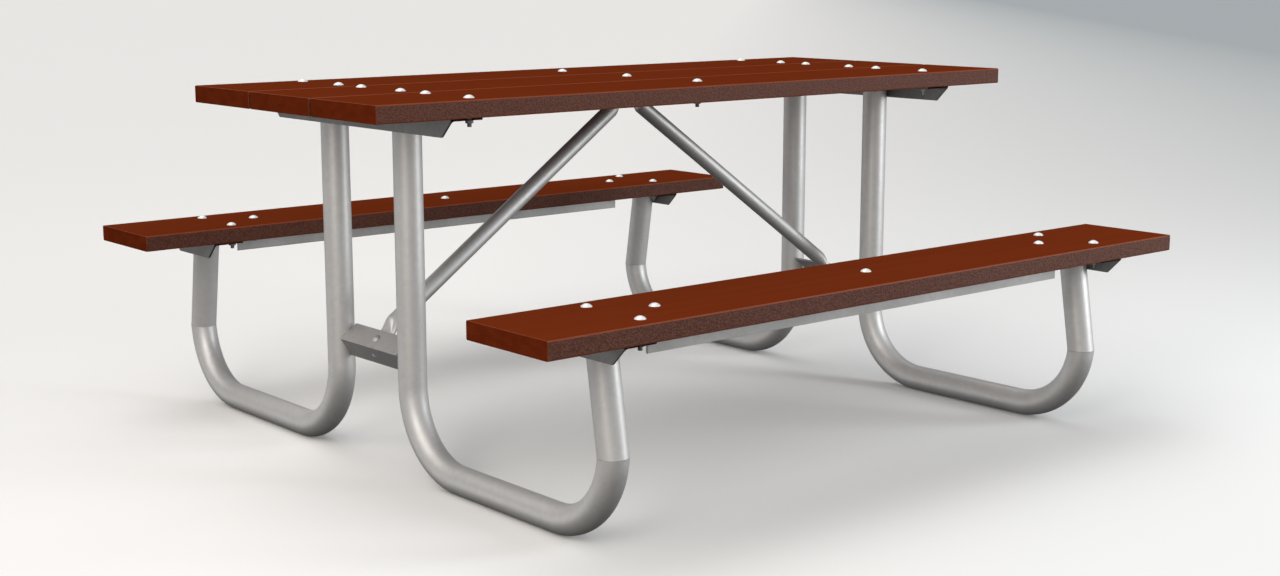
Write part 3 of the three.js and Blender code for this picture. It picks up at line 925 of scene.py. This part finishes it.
def area_light(name, place, aim, size, power, colour):
    data = bpy.data.lights.new(name, "AREA")
    data.shape = "RECTANGLE"
    data.size, data.size_y = size
    data.energy = power
    data.color = colour
    light = bpy.data.objects.new(name, data)
    light.location = place
    light.visible_camera = False
    light.rotation_euler = (Vector(aim) - Vector(place)).to_track_quat("-Z", "Y").to_euler()
    bpy.context.scene.collection.objects.link(light)


AMBIENT = (0.05, 0.05, 0.053)
SKY_GLOWS = (
    # direction the light comes from, how narrow it is, colour
    ((0.0, 0.0, 1.0), 1.5, (0.15, 0.15, 0.15)),
    ((0.05, 0.30, 0.95), 20.0, (2.7, 2.7, 2.7)),
    ((0.05, 0.80, 0.60), 6.0, (0.65, 0.65, 0.66)),
    ((0.70, -0.55, 0.62), 8.0, (0.45, 0.47, 0.50)),
    ((-0.75, -0.05, 0.80), 10.0, (2.2, 2.10, 1.98)),
    ((-0.45, -0.80, 0.25), 3.0, (0.50, 0.50, 0.50)),
)
HORIZON_BLEND = 0.25
GROUND_BELOW = (0.032, 0.031, 0.030)
GROUND_BEHIND = (0.85, 0.85, 0.85)
FRONT_SIDE = (-0.65, -0.76, 0)
GROUND_STEEP = -0.50
GROUND_FLAT = -0.20
GROUND_BEFORE = (0.56, 0.545, 0.53)
SOFTBOXES = (
    # name, place of its middle, what it points at, width and height, power, colour
    ("right_softbox", (2.8, -3.3, 1.55), (0, 0, 1.15), (1.3, 2.3), 84, (0.93, 0.98, 1.0)),
    ("left_softbox", (-4.0, -2.2, 2.1), (0, 0, 0.9), (1.5, 2.4), 54, (1.0, 0.95, 0.89)),
)


def studio_sky(n, towards):
    """Soft light from above, with a few brighter parts."""
    sky = AMBIENT
    for direction, narrowness, colour in SKY_GLOWS:
        lit = n.range(n.facing(towards, Vector(direction).normalized()), 0, 1, 0, 1)
        lobe = n.add("ShaderNodeMath", operation="POWER")
        lobe.inputs[1].default_value = narrowness
        n.link(lit, lobe.inputs[0])
        sky = n.mix(lobe.outputs[0], sky, colour, blend="ADD")
    return sky


def ground_light(n, towards, height):
    """The light a pale floor sends up: dim from straight below, brighter from far out."""
    before = n.facing(towards, FRONT_SIDE)
    far = n.mix(n.range(before, -0.2, 0.8, 0, 1), GROUND_BEHIND, GROUND_BEFORE)
    return n.mix(n.range(height, GROUND_STEEP, GROUND_FLAT, 0, 1), GROUND_BELOW, far)


def build_light():
    """A studio sky over a lit ground, and a softbox on each side of the front."""
    world = bpy.data.worlds.new("studio")
    bpy.context.scene.world = world
    world.use_nodes = True
    n = Nodes(world.node_tree)
    towards = n.add("ShaderNodeTexCoord").outputs["Generated"]
    height = n.facing(towards, (0, 0, 1))
    under = n.range(height, 0.0, HORIZON_BLEND, 1, 0)
    colour = n.mix(under, studio_sky(n, towards), ground_light(n, towards, height))
    n.link(colour, n.tree.nodes["Background"].inputs["Color"])
    for softbox in SOFTBOXES:
        area_light(*softbox)


CAMERA_PLACE = (-2.6864, -3.1949, 1.0635)
CAMERA_PITCH = math.radians(79.653)
CAMERA_YAW = math.radians(-40.479)


def build_camera():
    data = bpy.data.cameras.new("camera")
    data.lens = 50
    data.sensor_width = 36
    camera = bpy.data.objects.new("camera", data)
    camera.location = CAMERA_PLACE
    camera.rotation_euler = (CAMERA_PITCH, 0, CAMERA_YAW)
    data.clip_end = 400
    bpy.context.scene.collection.objects.link(camera)
    bpy.context.scene.camera = camera
    bpy.context.scene.view_settings.view_transform = "Standard"


build_camera()
build_planks()
build_steel()
build_tubes()
build_bolts()
build_floor()
build_light()
